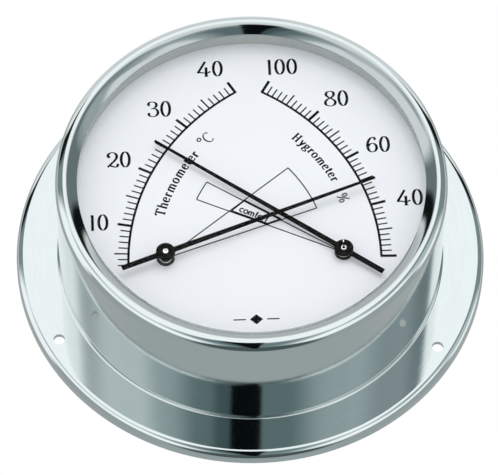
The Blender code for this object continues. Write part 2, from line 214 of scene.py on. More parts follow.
def turned(profile, steps, place=(0.0, 0.0)):
    """A solid of revolution round Y through place.

    The point at angle a and profile point (r, d) is (x + r cos a, -d, z + r sin a).
    """
    profile = np.asarray(profile, float)
    angle = np.linspace(0, 2 * np.pi, steps, endpoint=False)[:, None]
    radius = profile[None, :, 0]
    depth = profile[None, :, 1] + 0 * angle
    points = np.stack(
        [place[0] + radius * np.cos(angle), -depth, place[1] + radius * np.sin(angle)], axis=-1
    )
    return points.reshape(-1, 3), grid_quads(steps, len(profile), True, True)


def arc(centre, radius, start, end, steps):
    """Points of an arc: centre plus radius times (cos, sin) of evenly spaced angles in degrees."""
    angle = np.radians(np.linspace(start, end, steps + 1))
    return np.stack([centre[0] + radius * np.cos(angle), centre[1] + radius * np.sin(angle)], axis=-1)


def swept(path, half_widths, section):
    """A bar carried along an (x, z) path in the dial's plane, closed at both ends.

    A section point (a, d) at a path point p with left-hand normal n and half-width w lands at
    p + a w n, at depth d.
    """
    path = np.asarray(path, float)
    tangent = np.gradient(path, axis=0)
    tangent /= np.linalg.norm(tangent, axis=1, keepdims=True)
    normal = np.stack([-tangent[:, 1], tangent[:, 0]], axis=-1)
    section = np.asarray(section, float)
    reach = np.asarray(half_widths, float)[:, None, None] * section[None, :, 0, None]
    flat = path[:, None, :] + reach * normal[:, None, :]
    depth = np.broadcast_to(section[None, :, 1], flat.shape[:2])
    points = np.stack([flat[..., 0], -depth, flat[..., 1]], axis=-1)
    count = len(section)
    ends = (points[:1], points[-1:])
    first, last = (np.repeat(end.mean(axis=1, keepdims=True), count, axis=1) for end in ends)
    rings = np.concatenate([first, points, last])
    return rings.reshape(-1, 3), grid_quads(len(rings), count, False, True)


def new_object(name, data):
    made = bpy.data.objects.new(name, data)
    bpy.context.scene.collection.objects.link(made)
    return made


def add_piece(name, shape, material, body, slot, *nodes):
    """Puts a mesh into the scene as a piece that rides on a body and stands for CAD nodes."""
    mesh = shape if isinstance(shape, bpy.types.Mesh) else mesh_of(name, *shape)
    piece = new_object(name, mesh)
    mesh.materials.append(material)
    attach(piece, body)
    if nodes:
        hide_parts(*nodes)


def with_cuts(name, shape, cutters):
    """A mesh with others cut out of it."""
    solid = new_object(name, mesh_of(name, *shape))
    helpers = []
    for number, cutter in enumerate(cutters):
        helper = new_object(f"{name}_cutter_{number}", mesh_of(f"{name}_cutter", *cutter))
        boolean = solid.modifiers.new("cut", "BOOLEAN")
        boolean.operation = "DIFFERENCE"
        boolean.solver = "EXACT"
        boolean.object = helper
        helpers.append(helper)
    graph = bpy.context.evaluated_depsgraph_get()
    mesh = bpy.data.meshes.new_from_object(solid.evaluated_get(graph))
    for obj in (solid, *helpers):
        bpy.data.objects.remove(obj)
    mesh.shade_smooth()
    mesh.set_sharp_from_angle(angle=math.radians(SHARP_OVER_CUT))
    mesh.materials.clear()
    return mesh


# ---------------- materials


def kept(maker):
    """Makes a material or a node group once, and gives the same one after that."""
    made = []

    def once():
        if not made:
            made.append(maker())
        return made[0]

    return once


def new_group(name, inputs):
    """A node group with float inputs and one float output, Value: the group, its input and output nodes."""
    group = bpy.data.node_groups.new(name, "ShaderNodeTree")
    for label, value in inputs.items():
        socket = group.interface.new_socket(label, in_out="INPUT", socket_type="NodeSocketFloat")
        socket.default_value = value
    group.interface.new_socket("Value", in_out="OUTPUT", socket_type="NodeSocketFloat")
    return group, node(group, "NodeGroupInput"), node(group, "NodeGroupOutput")


def feed(tree, socket, value):
    """Gives an input a value of its own, or links another node's output to it."""
    if isinstance(value, bpy.types.NodeSocket):
        tree.links.new(value, socket)
    else:
        socket.default_value = value


def node(tree, kind, inputs=None, **settings):
    """A node with its properties set and its inputs fed by name or number."""
    made = tree.nodes.new(kind)
    for key, value in settings.items():
        setattr(made, key, value)
    for key, value in (inputs or {}).items():
        feed(tree, made.inputs[key], value)
    return made


def math_node(tree, operation, *values):
    """A Math node fed by sockets or numbers. Returns its output socket."""
    return node(tree, "ShaderNodeMath", dict(enumerate(values)), operation=operation).outputs[0]


def mix(tree, share, first, second, blend_type="MIX"):
    """A colour between two others, which is the second where the share is one."""
    inputs = {0: share, 6: first, 7: second}
    return node(tree, "ShaderNodeMix", inputs, data_type="RGBA", blend_type=blend_type).outputs[2]


def noise(tree, vector, scale, detail, roughness=0.5):
    inputs = {"Vector": vector, "Scale": scale, "Detail": detail, "Roughness": roughness}
    return node(tree, "ShaderNodeTexNoise", inputs).outputs["Fac"]


def own_place(tree):
    """The place of the shaded point in the object's own coordinates."""
    return node(tree, "ShaderNodeTexCoord").outputs["Object"]


@kept
def group_uneven():
    """Slow and fine cloudiness: two noises of the object's own coordinates, added and centred on 0.5."""
    group, give, take = new_group("Uneven surface", {"Coarse scale": 60.0, "Fine scale": 900.0})
    place = own_place(group)
    values = [noise(group, place, scale, 3.0, 0.55) for scale in list(give.outputs)[:2]]
    feed(group, take.inputs["Value"], math_node(group, "MULTIPLY", math_node(group, "ADD", *values), 0.5))
    return group


def round_the_axis(tree):
    """The distance from the Y axis, the angle round it and y: sqrt(x^2 + z^2), atan2(z, x), y."""
    x, y, z = node(tree, "ShaderNodeSeparateXYZ", {0: own_place(tree)}).outputs
    square = math_node(tree, "ADD", math_node(tree, "MULTIPLY", x, x), math_node(tree, "MULTIPLY", z, z))
    return math_node(tree, "SQRT", square), math_node(tree, "ARCTAN2", z, x), y


@kept
def group_turned_grain():
    """Fine rings left by polishing on a lathe: noise of the distance from the Y axis and the depth."""
    group, give, take = new_group("Turned grain", {"Rings": 9000.0, "Breaks": 6.0})
    radius, angle, y = round_the_axis(group)
    rings, breaks = list(give.outputs)[:2]
    rates = enumerate(((radius, rings), (y, rings), (angle, breaks)))
    join = node(group, "ShaderNodeCombineXYZ", {i: math_node(group, "MULTIPLY", *rate) for i, rate in rates})
    feed(group, take.inputs["Value"], noise(group, join.outputs[0], 1.0, 2.0))
    return group


@kept
def group_rolled_grain():
    """Straight rolling marks: noise of the object's coordinates, stretched along X."""
    group, give, take = new_group("Rolled grain", {"Marks": 2500.0})
    stretch = node(group, "ShaderNodeMapping", {"Vector": own_place(group), "Scale": (0.03, 1.0, 1.0)})
    feed(group, take.inputs["Value"], noise(group, stretch.outputs[0], give.outputs["Marks"], 3.0))
    return group


@kept
def group_lip_zone():
    """One on the lip: nearer to the Y axis than the crest and further forward than the ring's shoulder."""
    group, give, take = new_group("Lip zone", {"Crest radius": 0.0425, "Ring depth": 0.0335})
    edge = 0.0005
    radius, _, y = round_the_axis(group)
    within = math_node(group, "SUBTRACT", give.outputs["Crest radius"], radius)
    inner = math_node(group, "MULTIPLY_ADD", within, 1.0 / edge, 0.5)
    inner.node.use_clamp = True
    depth = math_node(group, "MULTIPLY", y, -1.0)
    ahead = math_node(group, "GREATER_THAN", depth, give.outputs["Ring depth"])
    feed(group, take.inputs["Value"], math_node(group, "MULTIPLY", inner, ahead))
    return group


def place_group(tree, group, inputs=None):
    return node(tree, "ShaderNodeGroup", inputs, node_tree=group).outputs["Value"]


def span(tree, value, low, high):
    """Maps a value of 0.25 to 0.75 onto low to high."""
    inputs = {"Value": value, "From Min": 0.25, "From Max": 0.75, "To Min": low, "To Max": high}
    return node(tree, "ShaderNodeMapRange", inputs).outputs["Result"]


def shade(colour, share):
    return (*(min(1.0, channel * share) for channel in colour), 1.0)


BUMP_REACH = 0.00002


def surface(name, colour, metallic, roughness, pattern, tone=(0.96, 1.04), bump=0.05, **more):
    """A Principled material. The pattern varies its colour by tone, its roughness and its bump.

    colour is (r, g, b), roughness is (lowest, highest), and pattern makes the value from the tree.
    """
    material = bpy.data.materials.new(name)
    material.use_nodes = True
    tree = material.node_tree
    shader = tree.nodes["Principled BSDF"]
    shader.inputs["Metallic"].default_value = metallic
    for key, value in more.items():
        shader.inputs[key].default_value = value
    value = pattern(tree)
    tones = (shade(colour, share) for share in tone)
    feed(tree, shader.inputs["Base Color"], mix(tree, span(tree, value, 0.0, 1.0), *tones))
    feed(tree, shader.inputs["Roughness"], span(tree, value, *roughness))
    relief = node(tree, "ShaderNodeBump", {"Strength": bump, "Distance": BUMP_REACH, "Height": value})
    feed(tree, shader.inputs["Normal"], relief.outputs[0])
    return material


MATT = {"Specular IOR Level": 0.03}
NEAR_BLACK = (0.004, 0.004, 0.004)


def uneven(coarse, fine):
    return lambda tree: place_group(tree, group_uneven(), {"Coarse scale": coarse, "Fine scale": fine})


def turned_grain(rings):
    return lambda tree: place_group(tree, group_turned_grain(), {"Rings": rings})


def rolled_grain(marks):
    return lambda tree: place_group(tree, group_rolled_grain(), {"Marks": marks})


@kept
def polished_steel():
    """Polished steel, its colour darkened and its roughness raised a little on the lip."""
    colour = bpy.context.scene.comfort_case.steel
    material = surface("Polished steel", colour, 1.0, (0.02, 0.07), turned_grain(9000.0), (0.96, 1.04), 0.08)
    tree = material.node_tree
    shader = tree.nodes["Principled BSDF"]
    lip = place_group(tree, group_lip_zone())
    colour, roughness = (shader.inputs[name] for name in ("Base Color", "Roughness"))
    dull = mix(tree, lip, colour.links[0].from_socket, (0.70, 0.70, 0.71, 1.0), "MULTIPLY")
    rough = math_node(tree, "ADD", roughness.links[0].from_socket, math_node(tree, "MULTIPLY", lip, 0.015))
    feed(tree, colour, dull)
    feed(tree, roughness, rough)
    return material


@kept
def dial_lacquer():
    colour = bpy.context.scene.comfort_dial.lacquer
    return surface("White dial lacquer", colour, 0.0, (0.3, 0.42), uneven(40.0, 2500.0), (0.985, 1.015), 0.04)


@kept
def dial_ink():
    colour = bpy.context.scene.comfort_dial.ink
    pattern = uneven(300.0, 4000.0)
    return surface("Black printing ink", colour, 0.0, (0.6, 0.75), pattern, (0.7, 1.3), 0.05, **MATT)


def finish(*looks, **more):
    """A maker of a plain material."""
    return kept(lambda: surface(*looks, **more))


black_lacquer = finish(
    "Black pointer lacquer", NEAR_BLACK, 0.0, (0.5, 0.65), uneven(200.0, 3000.0), (0.7, 1.3), **MATT
)
# Painted shade: the white plastic spacer ring is coloured grey, standing for the lip's shade on it
ring_with_painted_shade = finish(
    "Grey moulded ring", (0.45, 0.49, 0.48), 0.0, (0.35, 0.5), uneven(80.0, 2000.0), (0.97, 1.03)
)
black_moulding = finish(
    "Black moulding", (0.028, 0.028, 0.03), 0.0, (0.4, 0.6), uneven(150.0, 3500.0), (0.8, 1.2), 0.15
)
sealing_rubber = finish(
    "Sealing rubber", (0.02, 0.02, 0.02), 0.0, (0.65, 0.85), uneven(120.0, 3000.0), (0.8, 1.2), 0.1
)
bright_steel = finish("Turned bright steel", (0.62, 0.62, 0.62), 1.0, (0.14, 0.28), uneven(300.0, 4000.0))
turned_brass = finish(
    "Turned brass", (0.72, 0.54, 0.25), 1.0, (0.2, 0.35), uneven(200.0, 3000.0), (0.92, 1.05)
)
bimetal_strip = finish(
    "Two-metal strip", (0.6, 0.5, 0.42), 1.0, (0.28, 0.42), rolled_grain(2500.0), (0.9, 1.08)
)
humidity_strip = finish(
    "Coated humidity strip", (0.74, 0.7, 0.58), 0.0, (0.5, 0.7), rolled_grain(1800.0), (0.9, 1.06)
)
zinc_plate = finish(
    "Zinc-plated steel", (0.55, 0.56, 0.58), 1.0, (0.3, 0.5), uneven(90.0, 1500.0), (0.85, 1.1)
)
pale_floor = finish("Pale floor", (0.9, 0.9, 0.9), 0.0, (0.6, 0.8), uneven(2.0, 30.0), (0.99, 1.01))


@kept
def clear_glass():
    """Clear glass that lets the light through to the dial."""
    material = bpy.data.materials.new("Clear glass")
    material.use_nodes = True
    tree = material.node_tree
    shader = tree.nodes["Principled BSDF"]
    shader.inputs["Base Color"].default_value = (1.0, 1.0, 1.0, 1.0)
    shader.inputs["IOR"].default_value = 1.1
    shader.inputs["Transmission Weight"].default_value = 1.0
    smears = uneven(25.0, 300.0)(tree)
    feed(tree, shader.inputs["Roughness"], span(tree, smears, 0.0, 0.006))
    through = node(tree, "ShaderNodeBsdfTransparent")
    path = node(tree, "ShaderNodeLightPath")
    unseen = math_node(tree, "MAXIMUM", path.outputs["Is Shadow Ray"], path.outputs["Is Diffuse Ray"])
    either = node(tree, "ShaderNodeMixShader", {0: unseen, 1: shader.outputs[0], 2: through.outputs[0]})
    feed(tree, tree.nodes["Material Output"].inputs["Surface"], either.outputs[0])
    return material


def dress(material, *nodes):
    """Gives CAD nodes their material."""
    for name in nodes:
        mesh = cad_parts[name].data
        mesh.materials.clear()
        mesh.materials.append(material)


# ---------------- case


def case_profile(settings):
    """The case's closed outline of (radius, depth): flange, wall, rounded bead, rolled lip, inside.

    The lip falls from the crest to the opening as a power of the way inwards, so that it starts
    level and steepens smoothly.
    """
    flange = settings.flange_radius / MM
    wall = settings.wall_radius / MM
    top = settings.depth / MM
    opening = settings.opening_radius / MM
    flange_top, shoulder, sheet, foot, bead = 3.5, 1.8, 1.2, 0.5, 2.15
    crest = wall - bead
    lip_drop, lip_power = 1.45, 1.7
    way = np.linspace(0.0, 1.0, 24)[1:]
    lip = np.stack([crest - (crest - opening) * way, top - lip_drop * way**lip_power], axis=-1)
    edge_depth = top - lip_drop
    flat_rows, wall_rows = np.linspace(0.01, 0.99, 9), np.linspace(0.005, 0.995, 15)
    flat_start, flat_end = flange - shoulder, wall + foot
    foot_depth, bead_depth = flange_top + foot, top - bead
    parts = [
        [(flange, 0.0), (flange, 0.05)],
        arc((flat_start, flange_top - shoulder), shoulder, 0, 90, 16),
        [(flat_start + (flat_end - flat_start) * way, flange_top) for way in flat_rows],
        arc((flat_end, foot_depth), foot, 270, 180, 8),
        [(wall, foot_depth + (bead_depth - foot_depth) * way) for way in wall_rows],
        arc((crest, bead_depth), bead, 0, 90, 24),
        lip,
        [(opening + 0.1, edge_depth - 0.08), (wall - sheet - 0.4, edge_depth - 0.1)],
        [(wall - sheet, edge_depth - 0.5)],
        arc((flat_end, foot_depth), foot + sheet, 180, 270, 8),
        arc((flat_start, flange_top - shoulder), shoulder - sheet, 90, 0, 8),
        [(flange - sheet, 0.0)],
    ]
    return np.concatenate([np.asarray(part, float) for part in parts])


def make_case():
    settings = bpy.context.scene.comfort_case
    rear, front = 0.5, 5.0
    through = [(0.0, rear), (HOLE_RADIUS, rear), (HOLE_RADIUS, front), (0.0, front)]
    holes = [turned(through, 48, on_dial((0.0, 0.0), HOLE_CIRCLE, angle)) for angle in HOLE_ANGLES]
    mesh = with_cuts("case_body", turned(case_profile(settings), 360), holes)
    add_piece("case_body", mesh, polished_steel(), "case", "polished_steel", "case_shell")


class COMFORT_OT_case(bpy.types.Operator):
    """Makes the pressed steel case with its flange, bead and screw holes"""

    bl_idname = "comfort.case"
    bl_label = "Case"

    def execute(self, context):
        make_case()
        return {"FINISHED"}


# ---------------- glazing


def make_glazing():
    """The lens and gasket keep their CAD shape, and the spacer gets a fine round wall."""
    dress(clear_glass(), "lens")
    dress(sealing_rubber(), "lens_gasket")
    rear, front, inner, outer = DIAL_FACE + 0.1, 33.25, 40.6, 43.3
    profile = [(inner, rear), (outer, rear), (outer, front), (inner + 0.2, front), (inner, front - 0.2)]
    ring = turned(profile, 240)
    # The spacer ring's grey is painted shade from the lip, not the plastic's own colour
    add_piece("spacer_wall", ring, ring_with_painted_shade(), "case", "white_plastic", "dial_spacer_ring")


class COMFORT_OT_glazing(bpy.types.Operator):
    """Finishes the lens and its gasket and makes the ring between lens and dial, coloured grey as painted
    shade
    """

    bl_idname = "comfort.glazing"
    bl_label = "Glass and ring"

    def execute(self, context):
        make_glazing()
        return {"FINISHED"}


# ---------------- dial print


def print_section(rise=PRINT_RISE):
    """A flat slab of ink on the dial's face, as (share of half-width, depth)."""
    low, high = DIAL_FACE + PRINT_GAP, DIAL_FACE + rise
    return [(-1.0, low), (1.0, low), (1.0, high), (-1.0, high)]


def on_dial(pivot, radius, degrees):
    """The (x, z) point at a radius and angle from a pivot."""
    angle = np.radians(degrees)
    return np.stack([pivot[0] + radius * np.cos(angle), pivot[1] + radius * np.sin(angle)], axis=-1)


def direction(degrees):
    return on_dial((0.0, 0.0), 1.0, degrees)


def printed_line(path, width, rise=PRINT_RISE):
    path = np.asarray(path, float)
    return swept(path, np.full(len(path), width / 2), print_section(rise))


def thermometer_angle(reading):
    return FORTY_DEGREES_AT + (reading - 40) * TURN_PER_DEGREE


def hygrometer_angle(reading):
    """The humidity scale closes up slightly towards its dry end."""
    below = 100 - reading
    return HUNDRED_PERCENT_AT - below * TURN_PER_PERCENT - CLOSING_PER_PERCENT * below**2


def scale_marks(scale, angle_of, readings, bold_every, long_every, lengths):
    """A scale's arc and the ticks that stand on it: bold and long at round readings, fine between."""
    centre, radius = scale
    bold_length, middle_length, fine_length = lengths
    sweep = np.linspace(angle_of(readings[0]), angle_of(readings[-1]), 96)
    lines = [printed_line(on_dial(centre, radius, sweep), ARC_LINE, ARC_RISE)]
    for reading in readings:
        if reading % bold_every == 0:
            length, width = bold_length, BOLD
        elif reading % long_every == 0:
            length, width = middle_length, MIDDLE
        else:
            length, width = fine_length, FINE
        reach = np.array([radius - TICK_INSIDE, radius + length])
        lines.append(printed_line(on_dial(centre, reach, angle_of(reading)), width))
    return lines


# Comfort field: (pivot, lowest and highest angle, reach) of each sector, and the bold field's corners
COMFORT_SECTORS = ((THERMOMETER_PIVOT, 146.7, 155.0, 36.4), (HYGROMETER_PIVOT, 18.9, 38.5, 37.1))
SECTOR_START = 1.5
COMFORT_CORNERS = ((-1.71, -2.47), (-4.88, -5.12), (3.33, -8.89), (6.43, -7.78), (-1.71, -2.47))


def comfort_outlines():
    """Two thin sectors from the pivots, and the bold four-sided field where they cross."""
    lines = []
    for pivot, low, high, reach in COMFORT_SECTORS:
        for angle in (low, high):
            lines.append(printed_line(on_dial(pivot, np.array([SECTOR_START, reach]), angle), FIELD_FINE))
        lines.append(printed_line(on_dial(pivot, reach, np.linspace(low, high, 24)), FIELD_FINE))
    for side in zip(COMFORT_CORNERS, COMFORT_CORNERS[1:]):
        lines.append(printed_line(side, FIELD_BOLD, FIELD_RISE))
    return lines


def lozenge_ornament():
    """A plain printer's rule: a small lozenge between two short lines."""
    centre, half_height, half_width, point = np.array([-0.35, -33.96]), 1.3, 1.5, 0.01
    rule_start, rule_end = 2.4, 5.2
    lozenge = centre + np.array([(-half_width, 0.0), (0.0, 0.0), (half_width, 0.0)])
    shape = swept(lozenge, [point, half_height, point], print_section())
    rules = [[centre + (side * rule_start, 0.0), centre + (side * rule_end, 0.0)] for side in (-1, 1)]
    return [shape, *(printed_line(rule, RULE_LINE) for rule in rules)]


# ---------------- numerals and letters


def oval(x, y, half_width, half_height, start=90.0, end=450.0):
    angle = np.radians(np.linspace(start, end, 33))
    return np.stack([x + half_width * np.cos(angle), y + half_height * np.sin(angle)], axis=-1)


def smooth(*points):
    """A Catmull-Rom curve through the points: a cubic blend of each four neighbours."""
    steps = 8
    points = np.asarray(points, float)
    padded = np.concatenate([2 * points[:1] - points[1:2], points, 2 * points[-1:] - points[-2:-1]])
    a, b, c, d = (padded[i : len(points) - 1 + i, None, :] for i in range(4))
    t = np.linspace(0, 1, steps, endpoint=False)[None, :, None]
    curve = 0.5 * (2 * b + (c - a) * t + (2 * a - 5 * b + 4 * c - d) * t**2 + (3 * b - a - 3 * c + d) * t**3)
    return np.concatenate([curve.reshape(-1, 2), points[-1:]])


def line(start, end):
    """A straight stroke between two points."""
    return np.array([start, end], float)


def stem(x, low, high):
    """An upright stroke."""
    return line((x, low), (x, high))


def bar(left, right, y):
    """A level stroke, as a foot or a crossbar."""
    return line((left, y), (right, y))


def ball(x, y, radius):
    """A round dot drawn as one short, wide stroke of a changing width."""
    return x, y, radius


def letter(advance, *strokes):
    """A letter's advance and strokes, in letter heights from the foot of its left side."""
    return advance, strokes


NUMERALS = {
    "0": letter(0.66, oval(0.285, 0.5, 0.22, 0.475)),
    "1": letter(0.36, stem(0.09, 0.0, 0.97), line((0.09, 0.95), (0.0, 0.9))),
    "2": letter(
        0.7,
        smooth(
            (0.07, 0.66), (0.08, 0.84), (0.27, 0.96), (0.47, 0.88), (0.53, 0.69), (0.43, 0.47), (0.2, 0.22),
            (0.03, 0.05),
        ),
        smooth((0.03, 0.05), (0.15, 0.14), (0.3, 0.09), (0.43, 0.03), (0.54, 0.08), (0.6, 0.24)),
        smooth((0.17, 0.1), (0.3, 0.07), (0.46, 0.055)),
        ball(0.11, 0.68, 0.075),
    ),
    "3": letter(
        0.72,
        smooth(
            (0.06, 0.76), (0.12, 0.91), (0.29, 0.97), (0.48, 0.88), (0.5, 0.69), (0.37, 0.56), (0.22, 0.53),
        ),
        smooth(
            (0.22, 0.53), (0.44, 0.52), (0.57, 0.38), (0.56, 0.18), (0.4, 0.04), (0.2, 0.04), (0.05, 0.16),
        ),
        ball(0.1, 0.77, 0.07),
        ball(0.09, 0.2, 0.08),
    ),
    "4": letter(
        0.82,
        line((0.45, 0.97), (0.03, 0.24)),
        smooth((0.03, 0.24), (0.2, 0.29), (0.44, 0.22), (0.6, 0.25), (0.72, 0.33)),
        smooth((0.15, 0.26), (0.35, 0.245), (0.55, 0.235)),
        stem(0.49, 0.6, 0.02),
        bar(0.38, 0.6, 0.02),
    ),
    "6": letter(
        0.7,
        smooth(
            (0.49, 0.84), (0.4, 0.95), (0.22, 0.87), (0.09, 0.62), (0.07, 0.32), (0.16, 0.1), (0.31, 0.025),
            (0.48, 0.11), (0.55, 0.3), (0.48, 0.5), (0.33, 0.57), (0.18, 0.5), (0.09, 0.36),
        ),
        ball(0.47, 0.83, 0.065),
    ),
    "8": letter(
        0.74,
        smooth(
            (0.36, 0.97), (0.18, 0.91), (0.12, 0.74), (0.24, 0.59), (0.42, 0.48), (0.58, 0.34),
            (0.58, 0.15), (0.44, 0.04), (0.26, 0.03), (0.1, 0.11), (0.07, 0.28), (0.18, 0.44), (0.36, 0.54),
            (0.51, 0.68), (0.53, 0.84), (0.46, 0.94), (0.36, 0.97),
        ),
    ),
}

LETTERS = {
    "T": letter(
        0.84,
        stem(0.4, 0.02, 0.96),
        bar(0.08, 0.72, 0.93),
        line((0.1, 0.95), (0.08, 0.74)),
        line((0.7, 0.95), (0.72, 0.74)),
        bar(0.24, 0.56, 0.04),
    ),
    "H": letter(
        0.92,
        *(stem(x, 0.02, 0.96) for x in (0.2, 0.64)),
        bar(0.2, 0.64, 0.5),
        *(bar(left, left + 0.28, y) for y in (0.04, 0.94) for left in (0.06, 0.5)),
    ),
    "h": letter(
        0.74,
        stem(0.17, 0.02, 1.0),
        smooth((0.17, 0.44), (0.28, 0.6), (0.44, 0.62), (0.53, 0.48), (0.53, 0.25), (0.53, 0.02)),
        bar(0.05, 0.29, 0.04),
        bar(0.42, 0.65, 0.04),
    ),
    "e": letter(
        0.6,
        bar(0.1, 0.48, 0.37),
        smooth(
            (0.47, 0.37), (0.43, 0.57), (0.28, 0.64), (0.13, 0.54), (0.08, 0.33), (0.15, 0.11),
            (0.32, 0.04), (0.5, 0.14),
        ),
    ),
    "r": letter(
        0.54,
        stem(0.17, 0.02, 0.64),
        smooth((0.17, 0.4), (0.25, 0.56), (0.38, 0.62)),
        bar(0.05, 0.31, 0.04),
        ball(0.4, 0.56, 0.085),
    ),
    "m": letter(
        1.06,
        stem(0.17, 0.02, 0.64),
        smooth((0.17, 0.44), (0.27, 0.6), (0.41, 0.62), (0.5, 0.48), (0.5, 0.25), (0.5, 0.02)),
        smooth((0.5, 0.44), (0.6, 0.6), (0.74, 0.62), (0.83, 0.48), (0.83, 0.25), (0.83, 0.02)),
        bar(0.05, 0.28, 0.04),
        bar(0.39, 0.61, 0.04),
        bar(0.72, 0.95, 0.04),
    ),
    "o": letter(0.68, oval(0.31, 0.33, 0.22, 0.3)),
    "t": letter(
        0.46,
        smooth((0.19, 0.86), (0.19, 0.5), (0.19, 0.18), (0.27, 0.05), (0.41, 0.1)),
        bar(0.05, 0.38, 0.6),
    ),
    "y": letter(
        0.64,
        line((0.13, 0.62), (0.33, 0.06)),
        smooth((0.52, 0.62), (0.41, 0.3), (0.3, 0.0), (0.2, -0.2), (0.08, -0.22)),
        bar(0.02, 0.24, 0.62),
        bar(0.42, 0.62, 0.62),
        ball(0.1, -0.19, 0.08),
    ),
    "g": letter(
        0.64,
        oval(0.28, 0.43, 0.17, 0.19),
        smooth(
            (0.17, 0.27), (0.12, 0.16), (0.3, 0.1), (0.48, 0.04), (0.48, -0.14), (0.27, -0.22),
            (0.08, -0.14), (0.1, 0.0), (0.2, 0.08),
        ),
        line((0.42, 0.56), (0.56, 0.64)),
    ),
}

PLAIN_LETTERS = {
    "c": letter(0.56, oval(0.3, 0.33, 0.25, 0.28, 50.0, 310.0)),
    "o": letter(0.66, oval(0.31, 0.33, 0.25, 0.28)),
    "m": letter(
        0.96,
        stem(0.1, 0.0, 0.62),
        smooth((0.1, 0.42), (0.22, 0.6), (0.38, 0.56), (0.42, 0.4), (0.42, 0.0)),
        smooth((0.42, 0.42), (0.54, 0.6), (0.7, 0.56), (0.76, 0.4), (0.76, 0.0)),
    ),
    "f": letter(0.4, smooth((0.15, 0.0), (0.15, 0.5), (0.17, 0.82), (0.34, 0.9)), bar(0.02, 0.32, 0.58)),
    "r": letter(0.42, stem(0.1, 0.0, 0.62), smooth((0.1, 0.4), (0.2, 0.58), (0.36, 0.6))),
    "t": letter(0.4, stem(0.15, 0.0, 0.84), bar(0.02, 0.32, 0.58)),
    "C": letter(0.8, oval(0.42, 0.5, 0.34, 0.47, 42.0, 312.0)),
    "ring": letter(0.42, oval(0.19, 0.86, 0.15, 0.16)),
    "%": letter(
        0.9,
        *(oval(x, y, 0.13, 0.22) for x, y in ((0.2, 0.72), (0.66, 0.26))),
        line((0.16, 0.0), (0.7, 0.98)),
    ),
}


def glyph(strokes, foot, across, upward, height, pen):
    """The ink of one letter, from the foot of its left side along two directions of the dial.

    A stroke's half-width follows its direction as a broad pen's does: thin along the line of
    writing, thick across it. pen is the thick and the thin width in letter heights.
    """
    thick, thin = pen
    inked = []
    for stroke in strokes:
        if isinstance(stroke, tuple):
            x, y, radius = stroke
            way = np.linspace(-1.0, 1.0, 11)
            path = np.stack([x + radius * way, np.full(11, y)], axis=-1)
            half = radius * np.sqrt(np.clip(1.0 - way**2, 0.01, 1.0))
        else:
            path = stroke
            way = np.gradient(path, axis=0)
            way /= np.linalg.norm(way, axis=1, keepdims=True)
            half = (thin + (thick - thin) * np.abs(way[:, 1]) ** 1.5) / 2
        placed = foot + height * (path[:, :1] * across + path[:, 1:] * upward)
        inked.append(swept(placed, half * height, print_section()))
    return inked


def write_straight(text, letters, centre, height, tilt, pen):
    """A word along a straight line, centred on a point of the dial and tilted by degrees."""
    last_gap = 0.1
    width = sum(letters[character][0] for character in text) - last_gap
    across, upward = direction(tilt), direction(tilt + 90.0)
    inked = []
    start = -width / 2
    for character in text:
        advance, strokes = letters[character]
        foot = np.asarray(centre) + height * (start * across - upward / 2)
        inked += glyph(strokes, foot, across, upward, height, pen)
        start += advance
    return inked


def write_round(text, letters, pivot, radius, first_angle, height, pen, tracking=0.0):
    """A word that runs clockwise round a pivot, its letters standing outwards from the radius."""
    inked = []
    start = 0.0
    for character in text:
        advance, strokes = letters[character]
        middle = first_angle - np.degrees((start + advance / 2) * height / radius)
        across, outward = direction(middle - 90.0), direction(middle)
        foot = np.asarray(pivot) + radius * outward - height * advance / 2 * across
        inked += glyph(strokes, foot, across, outward, height, pen)
        start += advance + tracking
    return inked


# Pens, as their thick and thin widths in letter heights
NUMERAL_PEN, WORD_PEN, SIGN_PEN, FIELD_PEN = (0.15, 0.045), (0.2, 0.1), (0.12, 0.07), (0.2, 0.17)
WORD_TRACKING = 0.02
NUMERAL_PLACES = (
    ("10", -35.14, -7.12),
    ("20", -30.25, 9.67),
    ("30", -20.5, 23.15),
    ("40", -8.25, 33.84),
    ("100", 8.75, 33.78),
    ("80", 20.83, 24.52),
    ("60", 29.86, 11.54),
    ("40", 36.27, -3.1),
)


def add_print(name, inked):
    """Puts printed strokes on the dial as one piece."""
    add_piece(name, merged(inked), dial_ink(), "case", "black_lacquer")


def make_scales():
    degrees = scale_marks(THERMOMETER_SCALE, thermometer_angle, range(3, 41), 10, 5, (3.3, 3.25, 2.4))
    add_print("thermometer_scale", degrees)
    percents = scale_marks(HYGROMETER_SCALE, hygrometer_angle, range(20, 101, 2), 20, 10, (3.5, 3.3, 2.45))
    add_print("hygrometer_scale", percents)
    word = write_straight("comfort", PLAIN_LETTERS, (0.35, -6.1), 1.75, -26.5, FIELD_PEN)
    add_print("comfort_field", comfort_outlines() + word)
    add_print("dial_ornament", lozenge_ornament())


def make_numerals():
    height = bpy.context.scene.comfort_dial.numeral_height / MM
    inked = []
    for text, x, z in NUMERAL_PLACES:
        inked += write_straight(text, NUMERALS, (x, z), height, 0.0, NUMERAL_PEN)
    add_print("scale_numerals", inked)


def make_words():
    """The scale names and the unit signs, each round its pivot at a radius and from an angle."""
    height = bpy.context.scene.comfort_dial.word_height / MM
    left, right = THERMOMETER_PIVOT, HYGROMETER_PIVOT
    inked = write_round("Thermometer", LETTERS, left, 42.0, 164.9, height, WORD_PEN, WORD_TRACKING)
    inked += write_round(["ring", "C"], PLAIN_LETTERS, left, 42.3, 136.0, height * 1.2, SIGN_PEN)
    inked += write_round("Hygrometer", LETTERS, right, 43.3, 46.0, height * 0.94, WORD_PEN, WORD_TRACKING)
    inked += write_round("%", PLAIN_LETTERS, right, 42.5, 20.9, height * 1.1, SIGN_PEN)
    add_print("scale_names", inked)


class COMFORT_OT_dial(bpy.types.Operator):
    """Lacquers the dial and prints both scales and the comfort field on it"""

    bl_idname = "comfort.dial"
    bl_label = "Dial and scales"

    def execute(self, context):
        dress(dial_lacquer(), "dial_plate")
        make_scales()
        return {"FINISHED"}


